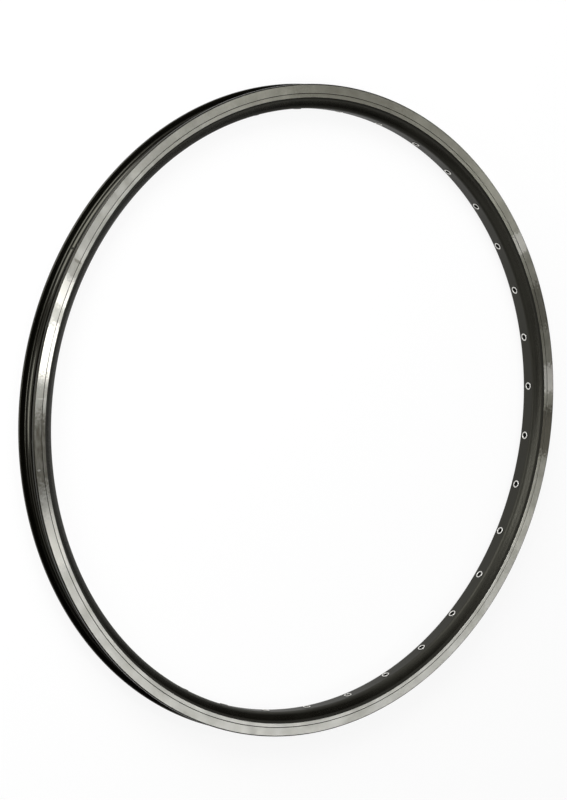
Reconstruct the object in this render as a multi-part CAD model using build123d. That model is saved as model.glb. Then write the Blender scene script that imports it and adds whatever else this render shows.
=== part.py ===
from build123d import *
import os
from math import hypot, sqrt

# Bicycle rim for a 26 inch (559 mm bead seat) wheel with rim brakes, in millimetres.
# The wheel's axis is +Z and the origin is the centre of the hoop. The valve hole is on +X.
# A section point is (radius, z); the section is the same on both sides of z = 0.

# Hoop, driving sizes
BEAD_SEAT_DIAMETER = 559.0
FLANGE_HEIGHT = 6.2  # bead seat to the crest of the flange
RIM_WIDTH = 24.0  # over the brake tracks
INNER_WIDTH = 19.0  # between the hooks
RIM_DEPTH = 21.2  # crest of the flange to the spoke bed
BED_WIDTH = 13.0  # spoke bed, to the meeting lines with the side walls
BED_CORNER_RADIUS = 3.0
SIDE_BULGE = 0.4  # how far the side wall swells out of the straight line between its ends
LIP_CHAMFER = 1.0  # outer edge of the flange

# Brake track and its wear line
TRACK_DEPTH = 11.5  # crest of the flange to the inner edge of the track
TRACK_STEP = 1.1  # how far the track stands out of the side wall
STEP_RISE = 0.6  # radial run of the step's slope
WEAR_LINE_DEPTH = 8.2  # crest of the flange to the middle of the wear line
WEAR_LINE_WIDTH = 1.0
WEAR_LINE_CUT = 0.5

# Tyre side
HOOK_CHAMFER = 0.8  # inner edge of the crest
HOOK_HEIGHT = 2.4  # crest to the underside of the hook
HOOK_UNDERCUT = 0.9  # radial run of the slope under the hook
WELL_WIDTH = 16.0  # between the bead seats
WELL_DEPTH = 2.0  # bead seat to the floor of the well
WELL_SLOPE = 2.0  # axial run of the well's side

# Walls
FLANGE_WALL = 1.6
BRAKE_WALL = 1.8
SEAT_WALL = 1.6
BRIDGE_WALL = 1.2
SIDE_WALL = 1.3
BED_WALL = 1.8

# Holes
SPOKE_COUNT = 36
SPOKE_STAGGER = 0.45  # holes stand alternately this far above and below the middle plane
ACCESS_DIAMETER = 9.0  # holes in the bridge that let the spoke nipples in
VALVE_DIAMETER = 8.5
DRILL_OVERRUN = 1.0  # how far a drill runs past the wall that it cuts

# Eyelets
EYELET_BORE = 4.5
EYELET_BARREL = 5.6
EYELET_FLANGE = 7.2
EYELET_DOME = 0.7  # how far the mouth stands out of the spoke bed
EYELET_TAIL = 0.4  # how far the barrel reaches into the chamber
EYELET_CLEARANCE = 0.02  # barrel to its hole, on the radius

# Worked out from the sizes above
seat_radius = BEAD_SEAT_DIAMETER / 2
crest_radius = seat_radius + FLANGE_HEIGHT
well_radius = seat_radius - WELL_DEPTH
bed_radius = crest_radius - RIM_DEPTH
track_radius = crest_radius - TRACK_DEPTH
wear_radius = crest_radius - WEAR_LINE_DEPTH
half_width = RIM_WIDTH / 2
well_floor_half = WELL_WIDTH / 2 - WELL_SLOPE
chamber_ceiling = well_radius - BRIDGE_WALL
# the ceiling ends short of the well's floor, so that the wall under the well's side is as thick
ceiling_half = well_floor_half - BRIDGE_WALL * (hypot(WELL_DEPTH, WELL_SLOPE) - WELL_SLOPE) / WELL_DEPTH
chamber_floor = bed_radius + BED_WALL
spoke_pitch = 360 / SPOKE_COUNT
# the flat underside of an eyelet touches the hollow curve of the spoke bed at its two ends
eyelet_seat = sqrt(bed_radius**2 - (EYELET_FLANGE / 2) ** 2)

step_foot = (track_radius - STEP_RISE, half_width - TRACK_STEP)
bed_corner = (bed_radius, BED_WIDTH / 2)
side_fall = (Vector(bed_corner) - Vector(step_foot)).normalized()
side_inwards = Vector(-side_fall.Y, side_fall.X)


def mirrored_face(half_outline):
    """Face of an outline given for z >= 0, from one crossing of the middle plane to the other."""
    other_half = [(radius, -z) for radius, z in reversed(half_outline)]
    return make_face(Polyline(*half_outline, *other_half, close=True))


def rounded(face, corner, radius):
    """The face with one corner, and its mirror image, rounded."""
    r, z = corner
    pair = [face.vertices().sort_by_distance((r, side * z))[0] for side in (1, -1)]
    return fillet(pair, radius)


def outer_section():
    """Outline of the extrusion: spoke bed, side wall, brake track, hooked flange, bead seat and well."""
    outline = [
        bed_corner,
        step_foot,
        (track_radius, half_width),
        (wear_radius - WEAR_LINE_WIDTH / 2, half_width),
        (wear_radius, half_width - WEAR_LINE_CUT),
        (wear_radius + WEAR_LINE_WIDTH / 2, half_width),
        (crest_radius - LIP_CHAMFER, half_width),
        (crest_radius, half_width - LIP_CHAMFER),
        (crest_radius, INNER_WIDTH / 2 + HOOK_CHAMFER),
        (crest_radius - HOOK_CHAMFER, INNER_WIDTH / 2),
        (crest_radius - HOOK_HEIGHT, INNER_WIDTH / 2),
        (crest_radius - HOOK_HEIGHT - HOOK_UNDERCUT, half_width - FLANGE_WALL),
        (seat_radius, half_width - FLANGE_WALL),
        (seat_radius, WELL_WIDTH / 2),
        (well_radius, well_floor_half),
    ]
    swell = side_swell()
    section = mirrored_face(outline) + [swell, mirror(swell, about=Plane.XZ)]
    return rounded(section, bed_corner, BED_CORNER_RADIUS)


def side_swell():
    """Sliver between the straight line of one side wall and its outward curve."""
    middle = (Vector(bed_corner) + Vector(step_foot)) / 2 - side_inwards * SIDE_BULGE
    return make_face(Line(bed_corner, step_foot) + ThreePointArc(bed_corner, middle, step_foot))


def chamber_section():
    """Outline of the hollow between the bridge and the spoke bed."""
    start = Vector(step_foot) + side_inwards * SIDE_WALL
    brake_wall_z = half_width - BRAKE_WALL
    outline = [
        (chamber_floor, start.Y + side_fall.Y * (chamber_floor - start.X) / side_fall.X),
        (start.X + side_fall.X * (brake_wall_z - start.Y) / side_fall.Y, brake_wall_z),
        (seat_radius - SEAT_WALL, brake_wall_z),
        (chamber_ceiling, ceiling_half),
    ]
    return mirrored_face(outline)


def spoke_places():
    """Place of each spoke hole: local +Z runs radially outwards along the hole from the wheel's axis."""
    for number in range(SPOKE_COUNT):
        side = 1 if number % 2 else -1
        yield Rot(0, 0, (number + 0.5) * spoke_pitch) * Pos(0, 0, side * SPOKE_STAGGER) * Rot(0, 90, 0)


def radial_drill(diameter, wall_inside, wall_outside):
    """A drill on local Z that cuts the walls between two radii."""
    length = wall_outside - wall_inside + 2 * DRILL_OVERRUN
    return Pos(0, 0, (wall_inside + wall_outside) / 2) * Cylinder(diameter / 2, length)


def rim_hoop():
    """The rolled extrusion with its spoke, access and valve holes."""
    section = outer_section() - chamber_section()
    hoop = revolve(Plane.XZ * section, axis=Axis.Z)
    spoke_drill = radial_drill(EYELET_BARREL + 2 * EYELET_CLEARANCE, bed_radius, chamber_floor)
    access_drill = radial_drill(ACCESS_DIAMETER, chamber_ceiling, well_radius)
    valve_drill = Rot(0, 90, 0) * radial_drill(VALVE_DIAMETER, bed_radius, well_radius)
    drills = [place * drill for place in spoke_places() for drill in (spoke_drill, access_drill)]
    return hoop - [valve_drill, *drills]


def eyelet():
    """One eyelet on local Z, which runs outwards from the wheel's axis: dome, seat and barrel."""
    barrel_end = chamber_floor + EYELET_TAIL
    profile = Polyline(
        (EYELET_BORE / 2, eyelet_seat - EYELET_DOME),
        (EYELET_FLANGE / 2, eyelet_seat),
        (EYELET_BARREL / 2, eyelet_seat),
        (EYELET_BARREL / 2, barrel_end),
        (EYELET_BORE / 2, barrel_end),
        close=True,
    )
    return revolve(Plane.XZ * make_face(profile), axis=Axis.Z)


def spoke_eyelets():
    """All the eyelets, each a separate solid in its own spoke hole."""
    pattern = eyelet()
    return Compound(children=[place * pattern for place in spoke_places()])


os.makedirs("parts", exist_ok=True)
export_step(rim_hoop(), "parts/rim_hoop.step")
export_step(spoke_eyelets(), "parts/spoke_eyelets.step")
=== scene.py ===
from math import asin, atan2, cos, hypot, pi, radians, sin, sqrt, tan

import bmesh
import bpy
from mathutils import Matrix, Vector


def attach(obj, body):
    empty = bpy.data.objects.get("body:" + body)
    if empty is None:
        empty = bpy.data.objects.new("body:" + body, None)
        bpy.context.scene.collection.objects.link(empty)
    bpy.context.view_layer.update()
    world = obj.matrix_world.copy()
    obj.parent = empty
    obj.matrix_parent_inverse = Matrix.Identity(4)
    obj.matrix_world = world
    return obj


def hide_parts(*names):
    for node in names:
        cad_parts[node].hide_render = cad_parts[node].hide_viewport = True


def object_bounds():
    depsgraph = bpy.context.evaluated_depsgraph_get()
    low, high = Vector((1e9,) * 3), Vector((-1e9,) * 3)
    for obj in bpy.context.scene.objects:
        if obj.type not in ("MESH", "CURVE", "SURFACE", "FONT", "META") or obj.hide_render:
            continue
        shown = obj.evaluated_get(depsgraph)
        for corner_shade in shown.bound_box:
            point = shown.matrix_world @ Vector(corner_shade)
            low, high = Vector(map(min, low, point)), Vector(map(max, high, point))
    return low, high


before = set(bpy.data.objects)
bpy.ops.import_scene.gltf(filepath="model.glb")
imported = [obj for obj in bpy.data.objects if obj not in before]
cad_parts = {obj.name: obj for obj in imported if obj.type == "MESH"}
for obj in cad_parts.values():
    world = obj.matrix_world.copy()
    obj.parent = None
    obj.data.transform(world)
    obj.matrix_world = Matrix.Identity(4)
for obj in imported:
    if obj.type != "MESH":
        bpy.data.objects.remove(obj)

cad_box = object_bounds()

# Bicycle rim lying flat on a pale floor. The hoop and its eyelets are drawn again over the CAD solids, so
# that the small edges are rounded and the turned metal is a face of its own. Outer sizes are the same, and
# only the eyelets' domes are lower. Sizes of the rim are in millimetres, and the scene is in metres.
MM = 0.001

# Driving sizes of the hoop, as in the CAD part
BEAD_SEAT_DIAMETER = 559.0
RIM_WIDTH = 24.0  # over the brake tracks
INNER_WIDTH = 19.0  # between the hooks
FLANGE_HEIGHT = 6.2  # bead seat to the crest of the flange
RIM_DEPTH = 21.2  # crest to the spoke bed
BED_WIDTH = 13.0  # spoke bed, to the meeting lines with the side walls
SIDE_BULGE = 0.4  # how far the side wall swells out of the straight line between its ends
TRACK_DEPTH = 11.5  # crest to the inner edge of the track
TRACK_STEP = 1.1  # how far the track stands out of the side wall
STEP_RISE = 0.6  # radial run of the step's slope
WEAR_LINE_DEPTH = 8.2  # crest to the middle of the wear line
WEAR_LINE_WIDTH = 1.0
WEAR_LINE_CUT = 0.5
HOOK_HEIGHT = 2.4  # crest to the underside of the hook
HOOK_UNDERCUT = 0.9  # radial run of the slope under the hook
WELL_WIDTH = 16.0  # between the bead seats
WELL_DEPTH = 2.0  # bead seat to the floor of the well
WELL_SLOPE = 2.0  # axial run of the well's side
FLANGE_WALL = 1.6
BRAKE_WALL = 1.8
SEAT_WALL = 1.6
BRIDGE_WALL = 1.2
SIDE_WALL = 1.3
BED_WALL = 1.8

# Worn mouth of the wear line, where the CAD part has a plain V
WEAR_HALF = WEAR_LINE_WIDTH / 2  # half width of the mouth
WEAR_MOUTH = 0.3  # half width of the cut below the mouth
WEAR_BREAK = 0.05  # depth of the mouth

# Worked out from the sizes above: radii, and distances from the middle plane where a name ends in Z
SEAT = BEAD_SEAT_DIAMETER / 2
CREST = SEAT + FLANGE_HEIGHT
WELL = SEAT - WELL_DEPTH
BED = CREST - RIM_DEPTH
TRACK_EDGE = CREST - TRACK_DEPTH
WEAR_LINE = CREST - WEAR_LINE_DEPTH
HOOK_UNDER = CREST - HOOK_HEIGHT
FLANGE_FOOT = HOOK_UNDER - HOOK_UNDERCUT
HALF_WIDTH = RIM_WIDTH / 2
HOOK_Z = INNER_WIDTH / 2
FLANGE_Z = HALF_WIDTH - FLANGE_WALL
SEAT_EDGE_Z = WELL_WIDTH / 2
WELL_EDGE_Z = SEAT_EDGE_Z - WELL_SLOPE
CHAMBER_FLOOR = BED + BED_WALL
CHAMBER_CEILING = WELL - BRIDGE_WALL
CHAMBER_WALL_Z = HALF_WIDTH - BRAKE_WALL
SEAT_INSIDE = SEAT - SEAT_WALL
# the ceiling ends short of the well's floor, so that the wall under the well's side is as thick
CEILING_INSET = BRIDGE_WALL * (hypot(WELL_DEPTH, WELL_SLOPE) - WELL_SLOPE) / WELL_DEPTH
CEILING_Z = round(WELL_EDGE_Z - CEILING_INSET, 3)

# Ends of the side wall, as (radius, z)
STEP_FOOT = (TRACK_EDGE - STEP_RISE, HALF_WIDTH - TRACK_STEP)
BED_CORNER = (BED, BED_WIDTH / 2)

# Fillet radius and number of steps at each corner of the section
SHARP = (0, 0)
BED_CORNER_ROUND = (3.0, 8)
STEP_FOOT_ROUND = (2.4, 5)
TRACK_EDGE_ROUND = (0.2, 3)
WEAR_BOTTOM_ROUND = (0.15, 3)
CREST_ROUND = (1.0, 5)
HOOK_ROUND = (0.6, 4)
HOOK_UNDER_ROUND = (0.45, 3)
FLANGE_FOOT_ROUND = (0.5, 3)
SEAT_FOOT_ROUND = (1.6, 5)
SEAT_EDGE_ROUND = (3.3, 7)
WELL_EDGE_ROUND = (3.3, 7)
SIDE_STEPS = 5  # straight runs on the curve of the side wall

# Mesh of the hoop. A hole stands in the middle of its cell, and a spoke hole has every second cell
SPOKE_COUNT = 36
CELLS = 2 * SPOKE_COUNT
CELL_COLUMNS = 6
CELL_ROWS = 6
COLUMNS = CELLS * CELL_COLUMNS
HOLE_RINGS = (0.4, 0.75, 1.0)  # rings of points on the way from a cell's border to its hole
SHARP_ANGLE = radians(40)  # edges past it stay sharp in the shading
FLAT_WEIGHT = 90  # 50 is neutral, and more favours the wide faces in the shading

# Eyelets: radii, then heights along the spoke hole, then the mesh
EYELET_BORE = 2.25
EYELET_BARREL = 2.8
EYELET_CLEARANCE = 0.02  # barrel to its hole
EYELET_FLANGE = 3.6
EYELET_CROWN = 2.85  # highest ring of the dome
EYELET_DOME = 0.62  # seat to the crown
EYELET_LIP = 0.45  # fall from the crown into the bore
EYELET_RIM = 0.06  # upright edge of the flange
EYELET_TAIL = 0.4  # how far the barrel reaches into the chamber
EYELET_END = CHAMBER_FLOOR + EYELET_TAIL
EYELET_SEGMENTS = 40
LIP_STEPS = 4
DOME_STEPS = 7

# Radii of the holes, and the break of their edges
SPOKE_HOLE = EYELET_BARREL + EYELET_CLEARANCE
ACCESS_HOLE = 4.5
VALVE_HOLE = 4.25
SPOKE_STAGGER = 0.45  # spoke holes stand alternately this far above and below the middle plane
EDGE_BREAK = 0.25
ACCESS_BREAK = 0.06

# Finishes of the hoop's faces, as places in its list of materials
BLACK, BARE = 0, 1


def rounded(corners):
    """Points and zones of corners (radius, z, fillet, steps, zone of the fillet, zone of the run after)."""
    points, zones = [], []
    last = len(corners) - 1
    for i, (r, z, fillet, steps, fillet_zone, run_zone) in enumerate(corners):
        here = Vector((r, z))
        if fillet == 0 or i in (0, last):
            points.append(here)
            zones.append(run_zone)
            continue
        back = (Vector(corners[i - 1][:2]) - here).normalized()
        ahead = (Vector(corners[i + 1][:2]) - here).normalized()
        half = back.angle(ahead) / 2
        reach = fillet / tan(half)
        centre = here + (back + ahead).normalized() * fillet / sin(half)
        start = here + back * reach - centre
        turn = here + ahead * reach - centre
        sweep = start.angle_signed(turn)
        for k in range(steps + 1):
            arm = start.copy()
            arm.rotate(Matrix.Rotation(-sweep * k / steps, 2))
            points.append(centre + arm)
            zones.append(run_zone if k == steps else fillet_zone)
    return points, zones


def side_curve():
    """Corners between the two ends of the side wall, on its outward curve."""
    start, run = Vector(BED_CORNER), Vector(STEP_FOOT) - Vector(BED_CORNER)
    outwards = Vector((-run.y, run.x)).normalized()
    for k in range(1, SIDE_STEPS):
        share = k / SIDE_STEPS
        point = start + run * share + outwards * SIDE_BULGE * 4 * share * (1 - share)
        yield (*point, *SHARP, BLACK, BLACK)


def outer_side():
    """One side of the hoop's outside, from the flat of the spoke bed to the flat of the well."""
    return rounded([
        (BED, 0.0, *SHARP, BLACK, BLACK),
        (*BED_CORNER, *BED_CORNER_ROUND, BLACK, BLACK),
        *side_curve(),
        (*STEP_FOOT, *STEP_FOOT_ROUND, BLACK, BLACK),
        (TRACK_EDGE, HALF_WIDTH, *TRACK_EDGE_ROUND, BARE, BARE),
        (WEAR_LINE - WEAR_HALF, HALF_WIDTH, *SHARP, BARE, BARE),
        (WEAR_LINE - WEAR_MOUTH, HALF_WIDTH - WEAR_BREAK, *SHARP, BARE, BLACK),
        (WEAR_LINE, HALF_WIDTH - WEAR_LINE_CUT, *WEAR_BOTTOM_ROUND, BLACK, BLACK),
        (WEAR_LINE + WEAR_MOUTH, HALF_WIDTH - WEAR_BREAK, *SHARP, BARE, BARE),
        (WEAR_LINE + WEAR_HALF, HALF_WIDTH, *SHARP, BARE, BARE),
        (CREST, HALF_WIDTH, *CREST_ROUND, BLACK, BLACK),
        (CREST, HOOK_Z, *HOOK_ROUND, BLACK, BLACK),
        (HOOK_UNDER, HOOK_Z, *HOOK_UNDER_ROUND, BLACK, BLACK),
        (FLANGE_FOOT, FLANGE_Z, *FLANGE_FOOT_ROUND, BLACK, BLACK),
        (SEAT, FLANGE_Z, *SEAT_FOOT_ROUND, BLACK, BLACK),
        (SEAT, SEAT_EDGE_Z, *SEAT_EDGE_ROUND, BLACK, BLACK),
        (WELL, WELL_EDGE_Z, *WELL_EDGE_ROUND, BLACK, BLACK),
        (WELL, 0.0, *SHARP, BLACK, BLACK),
    ])


def chamber_side():
    """One side of the hollow between the bridge and the spoke bed."""
    fall = (Vector(BED_CORNER) - Vector(STEP_FOOT)).normalized()
    start = Vector(STEP_FOOT) + Vector((-fall.y, fall.x)) * SIDE_WALL
    floor_z = start.y + fall.y * (CHAMBER_FLOOR - start.x) / fall.x
    knee_r = start.x + fall.x * (CHAMBER_WALL_Z - start.y) / fall.y
    return rounded([
        (CHAMBER_FLOOR, 0.0, *SHARP, BLACK, BLACK),
        (CHAMBER_FLOOR, floor_z, *SHARP, BLACK, BLACK),
        (knee_r, CHAMBER_WALL_Z, *SHARP, BLACK, BLACK),
        (SEAT_INSIDE, CHAMBER_WALL_Z, *SHARP, BLACK, BLACK),
        (CHAMBER_CEILING, CEILING_Z, *SHARP, BLACK, BLACK),
        (CHAMBER_CEILING, 0.0, *SHARP, BLACK, BLACK),
    ])


def column_angle(column):
    """Angle of a column of points. Column 0 is the border at which cell 0 starts."""
    return 2 * pi * (column / COLUMNS - 0.5 / CELLS)


def cell_angle(cell):
    """Angle of the middle of a cell."""
    return 2 * pi * cell / CELLS


def drill_place(cell, across, depth, z):
    """A place on a radial drill: across is sideways from the cell's middle line, depth along it."""
    angle = cell_angle(cell)
    x = depth * cos(angle) - across * sin(angle)
    y = depth * sin(angle) + across * cos(angle)
    return (x, y, z)


def spoke_places():
    """Cell and z of each spoke hole, below and above the middle plane by turns."""
    cells = range(1, CELLS, 2)
    return {cell: SPOKE_STAGGER * (1 if number % 2 else -1) for number, cell in enumerate(cells)}


class RingMesh:
    """Points and faces of a piece that is built from rings of points, in millimetres."""

    def __init__(self):
        self.points, self.faces, self.zones = [], [], []

    def add(self, place):
        """Adds a point and returns its number."""
        self.points.append(place)
        return len(self.points) - 1

    def point(self, radius, angle, z):
        return self.add((radius * cos(angle), radius * sin(angle), z))

    def face(self, corners, zone=BLACK):
        self.faces.append(corners)
        self.zones.append(zone)

    def strip(self, side, points, zones):
        """Turns an open run of section points round the axis and returns its first and last rings."""
        rings = [[self.point(p.x, column_angle(j), side * p.y) for j in range(COLUMNS)] for p in points]
        for low, high, zone in zip(rings, rings[1:], zones):
            for j in range(COLUMNS):
                n = (j + 1) % COLUMNS
                self.face((low[j], low[n], high[n], high[j]), zone)
        return rings[0], rings[-1]

    def band(self, radius, half, low, high, holes, into_wall):
        """A flat band between two rings, with holes by cell, each (z, radius, edge break).

        into_wall is 1 where the wall lies outside the band and -1 where it lies inside. Returns the loop of
        points in the wall below each hole's edge.
        """
        rows = [half * (2 * k / CELL_ROWS - 1) for k in range(1, CELL_ROWS)]
        posts = []
        for first in range(0, COLUMNS, CELL_COLUMNS):
            inner = [self.point(radius, column_angle(first), z) for z in rows]
            posts.append([low[first], *inner, high[first]])
        loops = {}
        for cell in range(CELLS):
            columns = [(cell * CELL_COLUMNS + k) % COLUMNS for k in range(CELL_COLUMNS + 1)]
            left, right = posts[cell], posts[(cell + 1) % CELLS]
            if cell in holes:
                border = [low[j] for j in columns] + right[1:-1]
                border += [high[j] for j in reversed(columns)] + left[-2:0:-1]
                loops[cell] = self.holed_cell(cell, radius, border, *holes[cell], into_wall)
            else:
                self.plain_cell(radius, rows, columns, low, high, left, right)
        return loops

    def plain_cell(self, radius, rows, columns, low, high, left, right):
        """A cell of a band with no hole, between its two posts."""
        grid = [[low[j] for j in columns]]
        for z, first, last in zip(rows, left[1:-1], right[1:-1]):
            inner = [self.point(radius, column_angle(j), z) for j in columns[1:-1]]
            grid.append([first, *inner, last])
        grid.append([high[j] for j in columns])
        for row, above in zip(grid, grid[1:]):
            for k in range(CELL_COLUMNS):
                self.face((row[k], row[k + 1], above[k + 1], above[k]))

    def holed_cell(self, cell, radius, border, z, hole, edge_break, into_wall):
        """Rings of faces from a cell's border to its hole's broken edge; returns the loop below that."""
        count = len(border)
        first = pi + pi * CELL_ROWS / count  # towards the corner at which the border starts
        turns = [first + 2 * pi * k / count for k in range(count)]
        starts = []
        for vertex in border:
            x, y, height = self.points[vertex]
            turned = atan2(y, x) - cell_angle(cell)
            starts.append(((turned + pi) % (2 * pi) - pi, height))
        mouth = hole + edge_break
        ends = [(asin(mouth * cos(a) / radius), z + mouth * sin(a)) for a in turns]
        rings = [border]
        for share in HOLE_RINGS:
            ring = []
            for (turn, height), (end_turn, end_height) in zip(starts, ends):
                angle = cell_angle(cell) + turn + (end_turn - turn) * share
                ring.append(self.point(radius, angle, height + (end_height - height) * share))
            rings.append(ring)
        below = []
        for a in turns:
            across = hole * cos(a)
            depth = sqrt(radius**2 - across**2) + into_wall * edge_break
            below.append(self.add(drill_place(cell, across, depth, z + hole * sin(a))))
        rings.append(below)
        self.join(rings)
        return below

    def join(self, rings):
        """Faces between closed rings of as many points."""
        for ring, inner in zip(rings, rings[1:]):
            count = len(ring)
            for k in range(count):
                n = (k + 1) % count
                self.face((ring[k], ring[n], inner[n], inner[k]))


def new_object(name, rings, materials, body, node):
    """A smooth-shaded piece made from a RingMesh, in place of a CAD node."""
    mesh = bpy.data.meshes.new(name)
    mesh.from_pydata([Vector(p) * MM for p in rings.points], [], rings.faces)
    for material in materials:
        mesh.materials.append(material)
    mesh.polygons.foreach_set("material_index", rings.zones)
    work = bmesh.new()
    work.from_mesh(mesh)
    bmesh.ops.recalc_face_normals(work, faces=work.faces)
    work.to_mesh(mesh)
    work.free()
    mesh.shade_smooth()
    mesh.set_sharp_from_angle(angle=SHARP_ANGLE)
    piece = bpy.data.objects.new(name, mesh)
    bpy.context.scene.collection.objects.link(piece)
    keep_flats_flat(piece)
    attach(piece, body)
    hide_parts(node)


def keep_flats_flat(piece):
    """Weights the shading by face area, so that a wide face isn't bent by the fillets beside it."""
    weigh = piece.modifiers.new("weigh", "WEIGHTED_NORMAL")
    weigh.mode = "FACE_AREA"
    weigh.weight = FLAT_WEIGHT
    weigh.keep_sharp = True
    shaped = bpy.data.meshes.new_from_object(piece.evaluated_get(bpy.context.evaluated_depsgraph_get()))
    shaped.name = piece.name
    piece.modifiers.clear()
    piece.data = shaped


def make_hoop(black, bare):
    """The hoop: two strips for its outside, two for its chamber, four holed bands and the drills' walls."""
    mesh = RingMesh()
    spokes = spoke_places()
    valve = {0: (0.0, VALVE_HOLE, EDGE_BREAK)}
    bed_holes = {cell: (z, SPOKE_HOLE, EDGE_BREAK) for cell, z in spokes.items()} | valve
    well_holes = {cell: (z, ACCESS_HOLE, ACCESS_BREAK) for cell, z in spokes.items()} | valve
    bed_edges, well_edges = both_sides(mesh, *outer_side())
    floor_edges, ceiling_edges = both_sides(mesh, *chamber_side())
    bed = mesh.band(BED, *bed_edges, bed_holes, 1)
    well = mesh.band(WELL, *well_edges, well_holes, -1)
    floor = mesh.band(CHAMBER_FLOOR, *floor_edges, bed_holes, -1)
    ceiling = mesh.band(CHAMBER_CEILING, *ceiling_edges, well_holes, 1)
    for mouth, far in ((bed, floor), (well, ceiling)):
        for cell in mouth:
            mesh.join([mouth[cell], far[cell]])
    new_object("rim_hoop_turned", mesh, [black, bare], "root", "rim_hoop")


def both_sides(mesh, points, zones):
    """Both sides of a section as strips. Returns half the width and the two rings of each flat band."""
    points, zones = points[1:-1], zones[1:-1]
    low_first, low_last = mesh.strip(-1, points, zones)
    high_first, high_last = mesh.strip(1, points, zones)
    return (points[0].y, low_first, high_first), (points[-1].y, low_last, high_last)


def eyelet_profile():
    """Closed section of an eyelet: (distance from its axis, distance from the wheel's axis)."""
    seat = sqrt(BED**2 - EYELET_FLANGE**2)
    crown = seat - EYELET_DOME
    rise = EYELET_DOME - EYELET_RIM
    profile = [(EYELET_BORE, EYELET_END)]
    for k in range(LIP_STEPS + 1):
        angle = pi / 2 * k / LIP_STEPS
        reach = EYELET_CROWN - (EYELET_CROWN - EYELET_BORE) * cos(angle)
        profile.append((reach, crown + EYELET_LIP * (1 - sin(angle))))
    for k in range(1, DOME_STEPS + 1):
        angle = pi / 2 * k / DOME_STEPS
        reach = EYELET_CROWN + (EYELET_FLANGE - EYELET_CROWN) * sin(angle)
        profile.append((reach, seat - EYELET_RIM - rise * cos(angle)))
    profile += [(EYELET_FLANGE, seat), (EYELET_BARREL, seat), (EYELET_BARREL, EYELET_END)]
    return profile


def make_eyelets(metal):
    """All the eyelets as one piece: the section turned round the axis of each spoke hole."""
    mesh = RingMesh()
    turns = [2 * pi * k / EYELET_SEGMENTS for k in range(EYELET_SEGMENTS)]
    for cell, z in spoke_places().items():
        rings = []
        for reach, depth in eyelet_profile():
            places = [drill_place(cell, reach * cos(t), depth, z + reach * sin(t)) for t in turns]
            rings.append([mesh.add(place) for place in places])
        mesh.join([*rings, rings[0]])
    new_object("spoke_eyelet_set", mesh, [metal], "root", "spoke_eyelets")


# The photograph's view. Photo axes are (right, into the picture, up), and the wheel's axis is the second.
# The valve hole lies VALVE_TURN round from the picture's right.
VALVE_TURN = radians(146.19)
VIEW_AZIMUTH = radians(37.12)
VIEW_ELEVATION = radians(6.334)
VIEW_DISTANCE = 2.6235  # metres along the view to the hoop's centre
VIEW_OFFSET = (0.016436, -0.010040)  # metres of the centre from the middle of the picture, right and up
FOCAL_PIXELS = 2993.2  # focal length, in pixels of the picture
LONG_SIDE_PIXELS = 800
SENSOR = 36.0
CLIP_END = 50.0

WHITE = (1, 1, 1, 1)

# Sockets of a colour mix, whose names aren't unique
MIX_A, MIX_B, MIX_RESULT = 6, 7, 2

# Ranges of a noise that are drawn out to the whole of an effect
WIDE = (0.3, 0.7)
NARROW = (0.35, 0.65)

# Ragged edge of a mark: scale and detail of its noise, and how far the noise eats into the mark
EDGE_NOISE = (420.0, 3.0)
EDGE_BITE = 0.9


class Graph:
    """Node tree of a material or a world, with short calls to add and link nodes."""

    def __init__(self, tree):
        self.tree = tree

    def add(self, kind, inputs=None, **settings):
        node = self.tree.nodes.new(kind)
        for key, value in settings.items():
            setattr(node, key, value)
        for key, value in (inputs or {}).items():
            self.give(node.inputs[key], value)
        return node

    def give(self, socket, value):
        if isinstance(value, bpy.types.NodeSocket):
            self.tree.links.new(value, socket)
        else:
            socket.default_value = value

    def math(self, operation, *values):
        node = self.add("ShaderNodeMath", operation=operation)
        for socket, value in zip(node.inputs, values):
            self.give(socket, value)
        return node.outputs[0]

    def average(self, a, b, share):
        """A mean of two values, of which the first has this share."""
        return self.math("MULTIPLY_ADD", a, share, self.math("MULTIPLY", b, 1 - share))

    def noise(self, vector, scale, detail, roughness=0.5):
        node = self.add("ShaderNodeTexNoise", {"Vector": vector, "Scale": scale, "Detail": detail,
                                               "Roughness": roughness})
        return node.outputs["Fac"]

    def ramp(self, value, low, high, to_low=0.0, to_high=1.0):
        node = self.add("ShaderNodeMapRange", {"Value": value, "From Min": low, "From Max": high,
                                               "To Min": to_low, "To Max": to_high})
        return node.outputs["Result"]

    def mix(self, factor, a, b):
        node = self.add("ShaderNodeMix", {"Factor": factor}, data_type="RGBA")
        self.give(node.inputs[MIX_A], a)
        self.give(node.inputs[MIX_B], b)
        return node.outputs[MIX_RESULT]

    def bump(self, height, strength, distance, normal=None):
        inputs = {"Height": height, "Strength": strength, "Distance": distance}
        if normal is not None:
            inputs["Normal"] = normal
        return self.add("ShaderNodeBump", inputs).outputs["Normal"]


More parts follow.
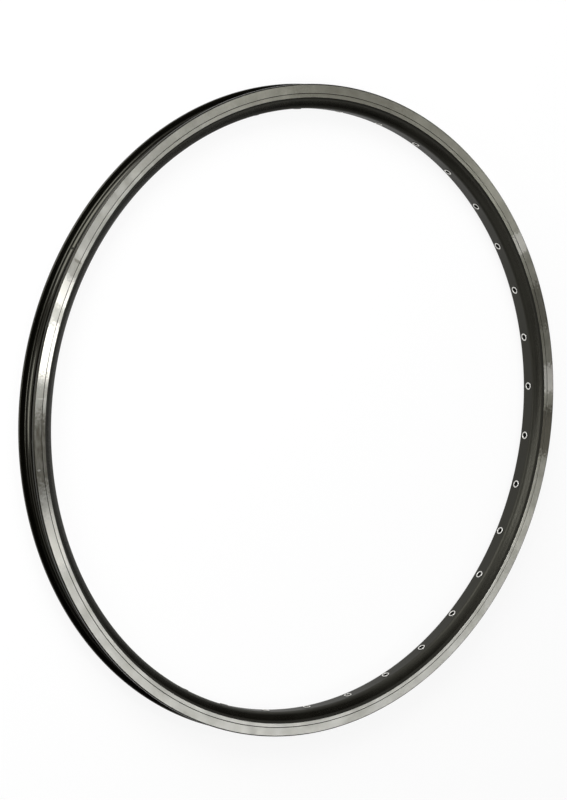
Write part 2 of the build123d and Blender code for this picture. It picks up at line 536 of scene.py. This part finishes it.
class HoopGraph(Graph):
    """Node tree with the places on the hoop, in metres: along it, across it and up."""

    def __init__(self, tree):
        super().__init__(tree)
        self.place = self.add("ShaderNodeTexCoord").outputs["Object"]
        parts = self.add("ShaderNodeSeparateXYZ", {"Vector": self.place}).outputs
        flat = self.add("ShaderNodeCombineXYZ", {"X": parts["X"], "Y": parts["Y"]}).outputs[0]
        unit = self.vector("NORMALIZE", flat).outputs["Vector"]
        self.radius = self.vector("LENGTH", flat).outputs["Value"]
        self.rise = parts["Z"]
        self.turn = self.add("ShaderNodeSeparateXYZ", {"Vector": unit}).outputs

    def vector(self, operation, *values):
        return self.add("ShaderNodeVectorMath", dict(enumerate(values)), operation=operation)

    def round_noise(self, along, across, rise_share, detail, roughness=0.5):
        """Noise drawn out along the hoop, with no seam; rise_share is how much the height counts across."""
        x = self.math("MULTIPLY", self.turn["X"], along)
        y = self.math("MULTIPLY", self.turn["Y"], along)
        out = self.math("MULTIPLY_ADD", self.rise, rise_share, self.radius)
        z = self.math("MULTIPLY", out, across)
        place = self.add("ShaderNodeCombineXYZ", {"X": x, "Y": y, "Z": z}).outputs[0]
        return self.noise(place, 1.0, detail, roughness)

    def mark(self, edge, degrees, radius, length, width, blur):
        """1 inside a spot with a ragged edge, 0 away from it; its sizes are halves, in millimetres."""
        angle = radians(degrees) - VALVE_TURN
        centre = Vector((radius * cos(angle), radius * sin(angle), 0.0)) * MM
        length_way = (-sin(angle) / (length * MM), cos(angle) / (length * MM), 0.0)
        width_way = (cos(angle) / (width * MM), sin(angle) / (width * MM), 0.0)
        off = self.vector("SUBTRACT", self.place, tuple(centre)).outputs["Vector"]
        along = self.vector("DOT_PRODUCT", off, length_way).outputs["Value"]
        across = self.vector("DOT_PRODUCT", off, width_way).outputs["Value"]
        far = self.math("SQRT", self.math("ADD", self.math("MULTIPLY", along, along),
                                          self.math("MULTIPLY", across, across)))
        ragged = self.math("MULTIPLY_ADD", edge, EDGE_BITE, far)
        return self.ramp(ragged, 1.0, 1.0 + blur, 1.0, 0.0)

    def marks(self, rows):
        """The strongest of several marks at each place."""
        found = 0.0
        edge = self.noise(self.place, *EDGE_NOISE)
        for strength, *spot in rows:
            found = self.math("MAXIMUM", found, self.math("MULTIPLY", self.mark(edge, *spot), strength))
        return found


def new_material(name, graph_kind=Graph):
    """A new material, with its graph and its shader."""
    material = bpy.data.materials.new(name)
    material.use_nodes = True
    shader = material.node_tree.nodes["Principled BSDF"]
    return material, graph_kind(material.node_tree), shader


# Anodised black: colours, gloss, and the roughness that each effect gives
BLACK_DEEP = (0.0016, 0.0014, 0.0008, 1)
BLACK_WORN = (0.0034, 0.0031, 0.0020, 1)
# painted shade for the corner under the track, also the colour of the dark spot on the well's side
BLACK_SHADE_AND_SPOT = (0.001, 0.001, 0.0008, 1)
BLACK_SPECULAR = 0.375
BLACK_TINT = (1.0, 0.98, 0.82, 1.0)
PATCH_ROUGHNESS = (0.21, 0.27)
GRAIN_ROUGHNESS = 0.06
DUST_ROUGHNESS = 0.24
SHADE_AND_SPOT_ROUGHNESS = 0.55
TYRE_SIDE_SHARE = 0.65  # of the roughness elsewhere

# Its noises: scale and detail of a plain one, and what round_noise takes for the drawn lines
PATCH_NOISE = (28.0, 3.0)
GRAIN_NOISE = (2600.0, 2.0)
DRAWN_NOISE = (5.0, 1400.0, 0.7, 2.0)
DRAWN_SHARE = 0.5  # of the drawn lines in the tone
DRAWN_BUMP = (0.12, 0.00008)  # strength, and depth in metres
GRAIN_BUMP = (0.1, 0.00005)

# Where it is dull, shiny or dark: radii at which the painted shade in the corner under the track starts, is
# full, thins out and ends, radii over which the dust of the spoke bed fades, radii and then heights over
# which the tyre side's shine comes and goes, and the dark, dull spots on the well's side, each a row as for
# the marks of the track
CORNER_SHADE = [TRACK_EDGE + step for step in (-2.6, -1.0, -0.05, 0.05)]
BED_DUST = [BED + step for step in (0.9, 2.9)]
TYRE_SIDE = (WELL - 1.5, WELL - 0.5, HOOK_Z - 0.2, HOOK_Z + 0.2)
WELL_SPOTS = [(1.0, 147.1, 278.4, 1.3, 1.5, 0.5)]


def anodised_black():
    """Satin black anodising with faint drawn lines round the hoop, patches of handling, painted shade in
    the corner under the track and a dark, dull spot on the well's side.
    """
    material, graph, shader = new_material("anodised_black", HoopGraph)
    patches = graph.noise(graph.place, *PATCH_NOISE)
    grain = graph.noise(graph.place, *GRAIN_NOISE)
    drawn = graph.round_noise(*DRAWN_NOISE)
    tone = graph.ramp(graph.average(drawn, patches, DRAWN_SHARE), *WIDE)
    # painted shade darkens and dulls the corner under the track, and a dark, dull spot on the well's side
    # joins it
    start, full, thin, end = (radius * MM for radius in CORNER_SHADE)
    corner_shade = graph.math("MULTIPLY", graph.ramp(graph.radius, start, full),
                        graph.ramp(graph.radius, thin, end, 1.0, 0.0))
    shade_and_spot = graph.math("MAXIMUM", corner_shade, graph.marks(WELL_SPOTS))
    clean = graph.mix(tone, BLACK_DEEP, BLACK_WORN)
    graph.give(shader.inputs["Base Color"], graph.mix(shade_and_spot, clean, BLACK_SHADE_AND_SPOT))
    shader.inputs["Specular IOR Level"].default_value = BLACK_SPECULAR
    shader.inputs["Specular Tint"].default_value = BLACK_TINT
    rough = graph.ramp(patches, *WIDE, *PATCH_ROUGHNESS)
    rough = graph.math("MULTIPLY_ADD", graph.ramp(grain, *WIDE), GRAIN_ROUGHNESS, rough)
    dust = graph.ramp(graph.radius, *(radius * MM for radius in BED_DUST), 1.0, 0.0)
    rough = graph.math("MULTIPLY_ADD", dust, DUST_ROUGHNESS, rough)
    low, high, inside, outside = (size * MM for size in TYRE_SIDE)
    height = graph.math("ABSOLUTE", graph.rise)
    tyre_side = graph.math("MULTIPLY", graph.ramp(graph.radius, low, high),
                           graph.ramp(height, inside, outside, 1.0, 0.0))
    rough = graph.math("MULTIPLY", rough, graph.ramp(tyre_side, 0.0, 1.0, 1.0, TYRE_SIDE_SHARE))
    graph.give(shader.inputs["Roughness"], graph.math("MULTIPLY_ADD", shade_and_spot, SHADE_AND_SPOT_ROUGHNESS, rough))
    lines = graph.bump(drawn, *DRAWN_BUMP)
    graph.give(shader.inputs["Normal"], graph.bump(grain, *GRAIN_BUMP, lines))
    return material


# Bare track: colours from dark to light, gloss, and the roughness that each effect gives
TRACK_TONES = ((0.455, 0.452, 0.41, 1), (0.565, 0.561, 0.525, 1))
# darker, more olive tones, used over the upper right half of the track
OLIVE_TONES = ((0.38, 0.373, 0.31, 1), (0.49, 0.481, 0.408, 1))
# painted highlight, partly real burnish: the brightest tone of the track
BURNISH_HIGHLIGHT_TONE = (0.94, 0.92, 0.845, 1)
# painted shade, partly real dirt: the darkest tone of the track
DULL_SHADE_TONE = (0.13, 0.123, 0.098, 1)
TRACK_METALLIC = 0.9
TRACK_ANISOTROPY = 0.9
ACROSS_THE_RINGS = 0.25  # turn of the stretched gloss, as a share of a full turn
STREAK_ROUGHNESS = (0.33, 0.29)
STAIN_ROUGHNESS = 0.06
DULL_ROUGHNESS = 0.06

# Its noises: what round_noise takes for those along the hoop, and scale, detail and roughness of the stains
RING_NOISE = (1.5, 4200.0, 0.0, 1.0)
WAVE_NOISE = (34.0, 9.0, 0.0, 4.0, 0.6)
STREAK_NOISE = (16.0, 60.0, 0.0, 3.0)
SMEAR_NOISE = (30.0, 450.0, 0.0, 4.0, 0.6)
STAIN_NOISE = (75.0, 4.0, 0.6)
STREAK_SHARE = 0.6  # of the streaks in the tone
TONE_RANGE = (0.36, 0.62)
STAIN_RANGE = (0.4, 0.7)
SMEAR_COVER = (0.87, 0.63)  # how much of a dull mark the smears leave
RING_BUMP = (0.15, 0.00004)  # strength, and depth in metres
WAVE_BUMP = (0.35, 0.0001)

# Marks on the track: dull ones, partly dirt and partly painted shade; burnished ones, partly real burnish
# and partly painted highlight; and a darker olive tone over the upper right half. A row is strength,
# degrees round from the picture's right, radius, half length, half width, and the share of its size over
# which its edge fades
DULL_AND_SHADE = [
    (0.55, 180.2, 280.0, 82.0, 60.0, 0.1),
    (1.15, 182.5, 280.0, 44.0, 40.0, 0.5),
    (0.5, 150.8, 280.0, 12.0, 40.0, 0.12),
    (0.35, 159.4, 280.0, 7.0, 40.0, 0.4),
    (0.95, 149.6, 279.5, 1.6, 5.5, 0.7),
    (1.6, 352.5, 280.0, 31.0, 40.0, 0.3),
    (0.95, 16.8, 280.0, 35.0, 40.0, 0.15),
    (0.5, 80.0, 280.0, 75.0, 40.0, 0.5),
]
BURNISH_AND_HIGHLIGHT = [
    (0.85, 30.0, 280.0, 15.0, 40.0, 0.2),
    (1.0, 2.6, 280.0, 18.0, 40.0, 0.3),
    (0.5, 155.4, 280.0, 19.0, 40.0, 0.12),
    (1.0, 166.0, 280.0, 36.0, 40.0, 0.2),
    (0.5, 198.0, 280.0, 30.0, 40.0, 0.5),
]
UPPER_RIGHT_OLIVE = [(1.0, 45.0, 280.0, 480.0, 300.0, 0.6)]

# Where the dull and shaded marks are broken: two scratches, and a cleaner strip inside the wear line
CLEARED = [
    (0.9, 173.7, 278.5, 0.9, 6.0, 0.4),
    (0.8, 185.7, 282.0, 1.0, 2.0, 0.4),
    (0.7, 174.3, 275.6, 9.0, 1.6, 0.4),
]


def turned_metal():
    """Bare turned metal: fine rings that spread the light across them, streaks, stains, marks of use, and
    painted highlights and shade.
    """
    material, graph, shader = new_material("turned_metal", HoopGraph)
    rings = graph.round_noise(*RING_NOISE)
    waves = graph.round_noise(*WAVE_NOISE)
    streaks = graph.round_noise(*STREAK_NOISE)
    smears = graph.round_noise(*SMEAR_NOISE)
    stains = graph.noise(graph.place, *STAIN_NOISE)
    tone = graph.ramp(graph.average(streaks, stains, STREAK_SHARE), *TONE_RANGE)
    # darker and more olive over the upper right half
    clean = graph.mix(graph.marks(UPPER_RIGHT_OLIVE), graph.mix(tone, *TRACK_TONES), graph.mix(tone, *OLIVE_TONES))
    # painted highlights, partly real burnish, lighten the track's colour
    clean = graph.mix(graph.marks(BURNISH_AND_HIGHLIGHT), clean, BURNISH_HIGHLIGHT_TONE)
    # painted shade, partly real dirt, darkens the track's colour
    dull_and_shade = graph.math("MULTIPLY", graph.marks(DULL_AND_SHADE), graph.ramp(smears, *NARROW, *SMEAR_COVER))
    dull_and_shade = graph.math("MULTIPLY", dull_and_shade, graph.ramp(graph.marks(CLEARED), 0.0, 1.0, 1.0, 0.0))
    graph.give(shader.inputs["Base Color"], graph.mix(dull_and_shade, clean, DULL_SHADE_TONE))
    shader.inputs["Metallic"].default_value = TRACK_METALLIC
    shader.inputs["Anisotropic"].default_value = TRACK_ANISOTROPY
    shader.inputs["Anisotropic Rotation"].default_value = ACROSS_THE_RINGS
    rough = graph.ramp(streaks, *WIDE, *STREAK_ROUGHNESS)
    rough = graph.math("MULTIPLY_ADD", graph.ramp(stains, *STAIN_RANGE), STAIN_ROUGHNESS, rough)
    graph.give(shader.inputs["Roughness"], graph.math("MULTIPLY_ADD", dull_and_shade, DULL_ROUGHNESS, rough))
    turned = graph.bump(rings, *RING_BUMP)
    graph.give(shader.inputs["Normal"], graph.bump(waves, *WAVE_BUMP, turned))
    tangent = graph.add("ShaderNodeTangent", direction_type="RADIAL", axis="Z").outputs[0]
    graph.give(shader.inputs["Tangent"], tangent)
    return material


# Eyelets: colours, roughness, noises, and the radii between which the bright mouth turns into the painted
# shade of the bore
MOUTH_TONES = ((0.58, 0.57, 0.54, 1), (0.72, 0.71, 0.68, 1))
BORE_SHADE_TONE = (0.05, 0.05, 0.045, 1)
MOUTH_ROUGHNESS = (0.4, 0.32)
BORE_ROUGHNESS = 0.3
CLOUD_NOISE = (420.0, 3.0)
PLATING_NOISE = (1500.0, 2.0)
PLATING_BUMP = (0.08, 0.00005)
EYELET_BORE_SHADE = (263.98, 264.2)


def eyelet_metal():
    """Plated metal with a faint unevenness, bright at the mouth and darkened down the bore by painted
    shade.
    """
    material, graph, shader = new_material("eyelet_metal", HoopGraph)
    cloud = graph.noise(graph.place, *CLOUD_NOISE)
    # painted shade darkens the bore
    bore_shade = graph.ramp(graph.radius, *(radius * MM for radius in EYELET_BORE_SHADE))
    mouth = graph.mix(graph.ramp(cloud, *NARROW), *MOUTH_TONES)
    graph.give(shader.inputs["Base Color"], graph.mix(bore_shade, mouth, BORE_SHADE_TONE))
    shader.inputs["Metallic"].default_value = 1.0
    rough = graph.ramp(cloud, *NARROW, *MOUTH_ROUGHNESS)
    graph.give(shader.inputs["Roughness"], graph.math("MULTIPLY_ADD", bore_shade, BORE_ROUGHNESS, rough))
    plating = graph.noise(graph.place, *PLATING_NOISE)
    graph.give(shader.inputs["Normal"], graph.bump(plating, *PLATING_BUMP))
    return material


def from_photo(right, away, up):
    """A vector in photo axes, in the part's frame."""
    spin = Matrix.Rotation(-VALVE_TURN, 3, "Z")
    return spin @ Vector((right, up, -away))


def make_camera():
    """The camera at the photograph's view."""
    turn_sin, turn_cos = sin(VIEW_AZIMUTH), cos(VIEW_AZIMUTH)
    rise_sin, rise_cos = sin(VIEW_ELEVATION), cos(VIEW_ELEVATION)
    ahead = from_photo(turn_sin * rise_cos, turn_cos * rise_cos, -rise_sin)
    right = from_photo(turn_cos, -turn_sin, 0.0)
    up = from_photo(turn_sin * rise_sin, turn_cos * rise_sin, rise_cos)
    data = bpy.data.cameras.new("camera")
    data.sensor_width = SENSOR
    data.lens = FOCAL_PIXELS * SENSOR / LONG_SIDE_PIXELS
    data.clip_end = CLIP_END
    camera = bpy.data.objects.new("camera", data)
    place = -VIEW_OFFSET[0] * right - VIEW_OFFSET[1] * up - VIEW_DISTANCE * ahead
    turn = Matrix((right, up, -ahead)).transposed().to_4x4()
    camera.matrix_world = Matrix.Translation(place) @ turn
    bpy.context.scene.collection.objects.link(camera)
    bpy.context.scene.camera = camera


FLOOR_SIZE = 40.0
FLOOR_TONES = ((0.93, 0.93, 0.93, 1), (0.95, 0.95, 0.95, 1))
FLOOR_NOISE = (3.0, 2.0)
FLOOR_ROUGHNESS = 0.9
FLOOR_GLOW = 0.88  # share of plain white in what the camera and reflections see of the floor


def white_rays(graph):
    """1 for the rays that see the background as white: from the camera, and off or through the object."""
    path = graph.add("ShaderNodeLightPath").outputs
    seen = graph.math("MAXIMUM", path["Is Camera Ray"], path["Is Glossy Ray"])
    return graph.math("MAXIMUM", seen, path["Is Transmission Ray"])


def make_floor():
    """A pale floor under the rim, which keeps its shadow."""
    low = cad_box[0].z
    half = FLOOR_SIZE / 2
    corners = [(-half, -half, low), (half, -half, low), (half, half, low), (-half, half, low)]
    mesh = bpy.data.meshes.new("floor")
    mesh.from_pydata(corners, [], [(0, 1, 2, 3)])
    material, graph, shader = new_material("pale_floor")
    cloud = graph.noise(graph.add("ShaderNodeTexCoord").outputs["Object"], *FLOOR_NOISE)
    graph.give(shader.inputs["Base Color"], graph.mix(cloud, *FLOOR_TONES))
    shader.inputs["Roughness"].default_value = FLOOR_ROUGHNESS
    shader.inputs["Specular IOR Level"].default_value = 0.0
    glow = graph.add("ShaderNodeEmission", {"Color": WHITE, "Strength": 1.0})
    share = graph.math("MULTIPLY", white_rays(graph), FLOOR_GLOW)
    both = graph.add("ShaderNodeMixShader", {0: share, 1: shader.outputs[0], 2: glow.outputs[0]})
    output = material.node_tree.nodes["Material Output"]
    graph.give(output.inputs["Surface"], both.outputs[0])
    mesh.materials.append(material)
    floor = bpy.data.objects.new("floor", mesh)
    bpy.context.scene.collection.objects.link(floor)


# Soft lamps round the hoop: name, degrees round from the picture's right, degrees above the hoop's plane,
# distance, radius of the lamp and its brightness
LAMPS = [
    ("top_panel", 131, 72, 1.2, 0.25, 1.4),
    ("top_lamp", 90, 84, 1.2, 0.1, 11.0),
    ("top_right_lamp", 0, 78, 1.2, 0.1, 8.4),
    ("upper_panel", 78, 50, 1.2, 0.45, 1.4),
    ("upper_left_panel", 124, 26, 2.0, 0.8, 7.5),
    ("left_panel", 177, 22, 1.2, 0.25, 7.0),
    ("lower_panel", 265, 58, 1.2, 0.45, 0.77),
    ("right_panel", 329, 50, 5.0, 0.8, 2.9),
    ("far_right_panel", 336, 34, 5.0, 0.8, 1.6),
    ("high_right_lamp", 312, 66, 5.0, 0.4, 5.2),
    ("low_right_lamp", 20, 7, 1.2, 0.13, 11.0),
]


def make_lights():
    """Round lamps that face the hoop. A lamp's power is pi times its area and brightness."""
    for name, turn, rise, distance, radius, brightness in LAMPS:
        data = bpy.data.lights.new(name, "AREA")
        data.shape = "DISK"
        data.size = 2 * radius
        area = pi * radius**2
        data.energy = pi * area * brightness
        lamp = bpy.data.objects.new(name, data)
        flat = cos(radians(rise))
        around = from_photo(flat * cos(radians(turn)), -sin(radians(rise)), flat * sin(radians(turn)))
        lamp.location = distance * around
        lamp.rotation_euler = (-around).to_track_quat("-Z", "Y").to_euler()
        lamp.visible_camera = False
        bpy.context.scene.collection.objects.link(lamp)


HORIZON_RISE = 0.32  # sine of the angle at which the white of the floor's far edge has faded out


def make_world():
    """A dark studio, with a white band at the horizon for reflections and white behind for the camera."""
    world = bpy.data.worlds.new("studio")
    bpy.context.scene.world = world
    world.use_nodes = True
    graph = Graph(world.node_tree)
    ahead = graph.add("ShaderNodeTexCoord").outputs["Generated"]
    rise = graph.add("ShaderNodeSeparateXYZ", {"Vector": ahead}).outputs["Z"]
    path = graph.add("ShaderNodeLightPath").outputs
    band = graph.math("MULTIPLY", path["Is Glossy Ray"], graph.ramp(rise, 0.0, HORIZON_RISE, 1.0, 0.0))
    seen = graph.math("MAXIMUM", path["Is Camera Ray"], path["Is Transmission Ray"])
    background = world.node_tree.nodes["Background"]
    background.inputs["Color"].default_value = WHITE
    graph.give(background.inputs["Strength"], graph.math("MAXIMUM", band, seen))


bpy.context.scene.view_settings.view_transform = "Standard"
make_hoop(anodised_black(), turned_metal())
make_eyelets(eyelet_metal())
make_camera()
make_floor()
make_lights()
make_world()
